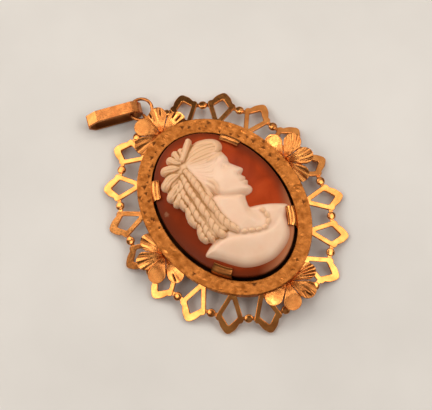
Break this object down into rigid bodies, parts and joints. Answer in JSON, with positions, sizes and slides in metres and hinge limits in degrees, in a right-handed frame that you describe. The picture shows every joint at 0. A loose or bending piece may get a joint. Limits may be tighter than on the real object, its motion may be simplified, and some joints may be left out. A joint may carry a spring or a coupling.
{
  "type": "oval pendant",
  "caption": "Oval cameo pendant: a carved shell bust in a claw setting with a flat ring, half flowers, a pierced border of arches, a jump ring and a bail.",
  "frame": {"origin": "centre of the oval, in the plane of the collar's back edge that the pendant rests on", "axes": "+Z out of the carved face, +Y along the oval's long axis towards the bail, +X to the right seen from the front"},
  "size_m": [0.034, 0.0446, 0.0083],
  "materials": {
    "setting_gold": "polished gold, with a hammered front ring",
    "border_gold": "polished stamped gold sheet",
    "link_gold": "polished gold wire and strip",
    "cameo_shell": "polished orange-brown shell",
    "cameo_white": "carved cream layer of the same shell, satin"
  },
  "bodies": {
    "root": {"setting": "setting_gold", "pierced_border": "border_gold", "cameo": "cameo_shell", "jump_ring": "link_gold", "bail": "link_gold"}
  },
  "joints": []
}
